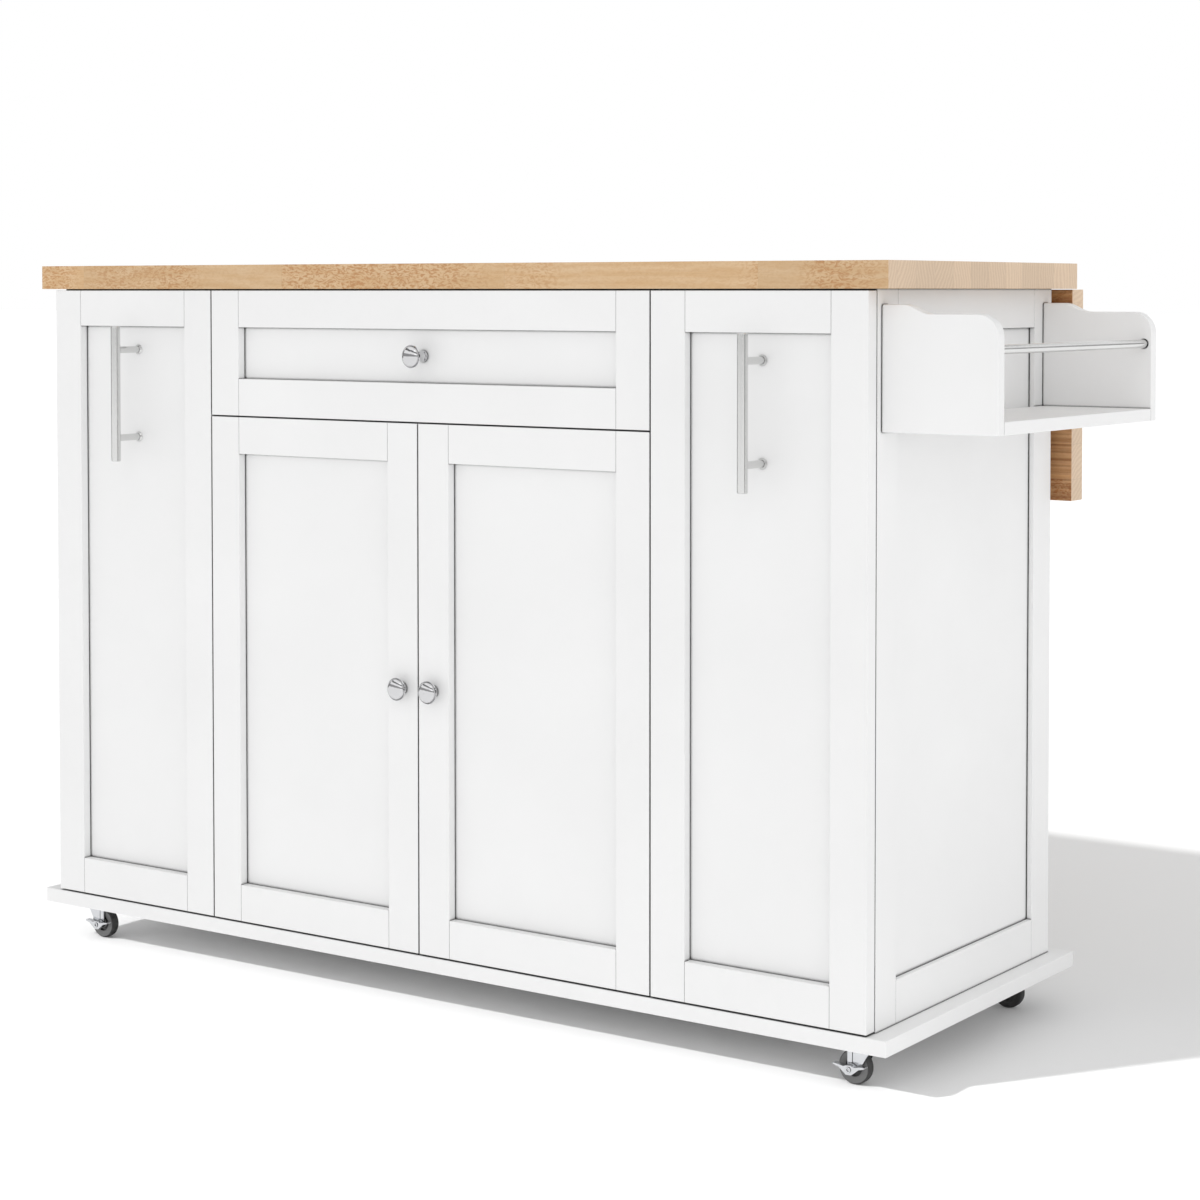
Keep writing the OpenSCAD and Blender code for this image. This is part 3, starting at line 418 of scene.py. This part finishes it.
def heads(name, body, material, radius, rings, places):
    """One piece of many small closed heads.

    Each place is a seat in cabinet millimetres and the way out of the face it sits on.
    """
    verts, faces = [], []
    n = len(rings[0])
    for index, (seat, out) in enumerate(places):
        out = Vector(out)
        side = out.orthogonal().normalized()
        other = out.cross(side)
        turn = 2.4 * index      # radians, so that no two recesses stand alike
        u = side * math.cos(turn) + other * math.sin(turn)
        v = out.cross(u)
        faces.append(tuple(range(len(verts) + n - 1, len(verts) - 1, -1)))
        for ring in rings:
            first = len(verts)
            verts += [at(*seat) + (u * x + v * y + out * z) * (radius / 1000)
                      for x, y, z in ring]
            if ring is not rings[0]:
                faces += [(first - n + k, first - n + (k + 1) % n, first + (k + 1) % n, first + k)
                          for k in range(n)]
        faces.append(tuple(range(first, first + n)))
    o = mesh_object(name, verts, faces, material)
    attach(o, body)


def grid(xs, ys, zs, out):
    """Places at every combination of the coordinates, all facing the same way."""
    return [((x, y, z), out) for x in xs for y in ys for z in zs]


def both_sides(xs):
    return [k * x for k in (-1, 1) for x in xs]


SUNK, PAN, PAD = screw_rings(0.10), screw_rings(0.45), disc_rings(0.125)
FORWARD, BACK, DOWN = (0, -1, 0), (0, 1, 0), (0, 0, -1)

# Seats of the heads in cabinet millimetres, where the solids have their plates
LEAF_HINGE_X = [x + d for x in (-563.0, -187.7, 187.7, 563.0) for d in (-21, 0, 21)]
STAY_FOOT_X, STAY_FOOT_Z = both_sides((421.5, 441.2)), (742, 763)
STAY_HEAD_X, STAY_HEAD_Z = both_sides((432.3, 452.0)), (762.6, 783.6)
CASTER_X, CASTER_Y = both_sides((596.5, 627.5)), (33.5, 64.5, 421.5, 452.5)
ARM_Z = [z + d for z in (172, 636) for d in (-18, 18)]
CUP_Z = [z + d for z in (172, 636) for d in (-20.5, 20.5)]
FRONT_BACK_Y = 20.4     # back face of the doors and fronts

heads("leaf_hinge_plate_screws", "carcass", ZINC, 2.9, SUNK,
      grid(LEAF_HINGE_X, [474], [903.5], DOWN))
heads("leaf_hinge_flap_screws", "leaf", ZINC, 2.9, SUNK,
      grid(LEAF_HINGE_X, [486.4], [883.1], FORWARD))
heads("stay_foot_screws", "carcass", ZINC, 3.0, SUNK,
      grid(STAY_FOOT_X, [467.5], STAY_FOOT_Z, BACK))
heads("stay_head_screws", "leaf", ZINC, 3.0, SUNK,
      grid(STAY_HEAD_X, [483.9], STAY_HEAD_Z, FORWARD))
heads("caster_screws", "carcass", ZINC, 3.4, PAN,
      grid(CASTER_X, CASTER_Y, [49], DOWN))
for side, k in (("left", -1), ("right", 1)):
    heads(f"hinge_arm_screws_{side}", "carcass", ZINC, 3.6, PAN,
          grid([k * 339.1], [70], ARM_Z, (-k, 0, 0)))
    heads(f"door_{side}_cup_screws", f"door_{side}", ZINC, 3.4, SUNK,
          grid([k * 326.1], [21.4], CUP_Z, BACK))
    heads(f"door_{side}_knob_screw", f"door_{side}", ZINC, 4.2, PAN,
          grid([k * 24.75], [FRONT_BACK_Y], [404], BACK))
    heads(f"pullout_{side}_handle_screws", f"pullout_{side}", ZINC, 4.2, PAN,
          grid([k * 494.4], [19.6], [704, 822], BACK))
    heads(f"door_{side}_bumper", f"door_{side}", SILICONE, 4.0, PAD,
          grid([k * 9, k * 60], [FRONT_BACK_Y], [731.8], BACK))
    heads(f"pullout_{side}_bumpers", f"pullout_{side}", SILICONE, 3.0, PAD,
          grid([k * 352.9], [FRONT_BACK_Y], [90, 884], BACK))
heads("drawer_knob_screw", "drawer", ZINC, 4.2, PAN,
      grid([0], [32.4], [819.75], BACK))
heads("drawer_bumpers", "drawer", SILICONE, 3.0, PAD,
      grid([-344.3, 344.3], [FRONT_BACK_Y], [749, 890], BACK))


# ---- Floor, light and camera ----

def bare_material(name):
    """A material that has only its output: itself, its tree and the output's socket."""
    m = bpy.data.materials.new(name)
    m.use_nodes = True
    m.node_tree.nodes.clear()
    out = m.node_tree.nodes.new("ShaderNodeOutputMaterial")
    return m, m.node_tree, out.inputs["Surface"]


def seen_ray(tree):
    """1 for camera, glossy and transmission rays, which see the white background."""
    path = tree.nodes.new("ShaderNodeLightPath").outputs
    total = path["Is Camera Ray"]
    for other in ("Is Glossy Ray", "Is Transmission Ray"):
        add = tree.nodes.new("ShaderNodeMath")
        add.operation, add.use_clamp = "ADD", True
        tree.links.new(total, add.inputs[0])
        tree.links.new(path[other], add.inputs[1])
        total = add.outputs[0]
    return total


def make_floor(half=90, tone=0.82, lift=0.03):
    """A pale floor; lift is the glow that brings it to white for the rays that see it."""
    m, t, surface = bare_material("floor")
    diffuse = t.nodes.new("ShaderNodeBsdfDiffuse")
    diffuse.inputs["Color"].default_value = grey(tone)
    glow = t.nodes.new("ShaderNodeEmission")
    gain = t.nodes.new("ShaderNodeMath")
    gain.operation = "MULTIPLY"
    gain.inputs[1].default_value = lift
    t.links.new(seen_ray(t), gain.inputs[0])
    t.links.new(gain.outputs[0], glow.inputs["Strength"])
    both = t.nodes.new("ShaderNodeAddShader")
    t.links.new(diffuse.outputs[0], both.inputs[0])
    t.links.new(glow.outputs[0], both.inputs[1])
    t.links.new(both.outputs[0], surface)
    corners = [(-half, -half, 0), (half, -half, 0), (half, half, 0), (-half, half, 0)]
    o = mesh_object("floor", corners, [(0, 1, 2, 3)], m)
    return o


def make_world(ambient=0.66, seen=1.0):
    """White all round: ambient lights the scene, and seen is what camera and gloss see."""
    world = bpy.data.worlds.new("studio")
    bpy.context.scene.world = world
    world.use_nodes = True
    t = world.node_tree
    background = t.nodes["Background"]
    background.inputs["Color"].default_value = grey(1)
    strength = t.nodes.new("ShaderNodeMapRange")
    strength.inputs[3].default_value = ambient
    strength.inputs[4].default_value = seen
    t.links.new(seen_ray(t), strength.inputs[0])
    t.links.new(strength.outputs[0], background.inputs["Strength"])


def sun(name, along, strength, angle, only=None):
    """A lamp that shines along a direction; only limits what it lights, not what shades it."""
    data = bpy.data.lights.new(name, "SUN")
    data.energy, data.angle = strength, math.radians(angle)
    o = bpy.data.objects.new(name, data)
    bpy.context.collection.objects.link(o)
    o.rotation_mode = "QUATERNION"
    o.rotation_quaternion = Vector(along).to_track_quat("-Z", "Y")
    if only is not None:
        o.light_linking.receiver_collection = only


CARD_CENTRE, CARD_RADIUS, CARD_STEPS = at(0, 0, 600), 7, 12


def card(name, turn, rise, tone):
    """Dark studio card that only reflections see, bent round the object.

    turn is its range in degrees from the front towards the rack side, and rise its range
    above the level.
    """
    m, t, surface = bare_material(name)
    glow = t.nodes.new("ShaderNodeEmission")
    glow.inputs["Color"].default_value = grey(tone)
    t.links.new(glow.outputs[0], surface)
    verts = []
    for k in range(CARD_STEPS + 1):
        a = math.radians(turn[0] + (turn[1] - turn[0]) * k / CARD_STEPS)
        for e in map(math.radians, rise):
            way = Vector((math.sin(a) * math.cos(e), -math.cos(a) * math.cos(e), math.sin(e)))
            verts.append(CARD_CENTRE + CARD_RADIUS * way)
    faces = [(2 * k, 2 * k + 2, 2 * k + 3, 2 * k + 1) for k in range(CARD_STEPS)]
    o = mesh_object(name, verts, faces, m)
    for ray in ("camera", "diffuse", "shadow", "transmission", "volume_scatter"):
        setattr(o, "visible_" + ray, False)


floor_only = bpy.data.collections.new("floor_only")
floor_only.objects.link(make_floor())
make_world()
sun("floor_key", along=(0.685, 1.02, -1.0), strength=2.6, angle=2.0, only=floor_only)
sun("front_soft", along=(0.35, 1.0, -0.45), strength=0.45, angle=110.0)
sun("side_soft", along=(-1.0, 0.35, -0.3), strength=0.74, angle=110.0)
card("card_left", turn=(-125, -76), rise=(-7, 22), tone=0.15)
card("card_right", turn=(76, 92), rise=(-7, 22), tone=0.18)
card("card_low", turn=(-180, 180), rise=(1.5, 13), tone=0.42)
card("card_high", turn=(-180, 180), rise=(27, 40), tone=0.20)

# The camera is fitted to the photograph, and looks down by 2 degrees to keep its shift small
camera = bpy.data.cameras.new("camera")
camera.lens, camera.sensor_width = 78.87, 36
camera.shift_x, camera.shift_y = -0.0199, -0.1811
camera.clip_end = 400
rig = bpy.data.objects.new("camera", camera)
bpy.context.collection.objects.link(rig)
rig.location = at(2063.7, -2539.1, 901.0)
rig.rotation_euler = (math.radians(90 - 2), 0, math.radians(34.592))
bpy.context.scene.camera = rig
bpy.context.scene.view_settings.view_transform = "Standard"
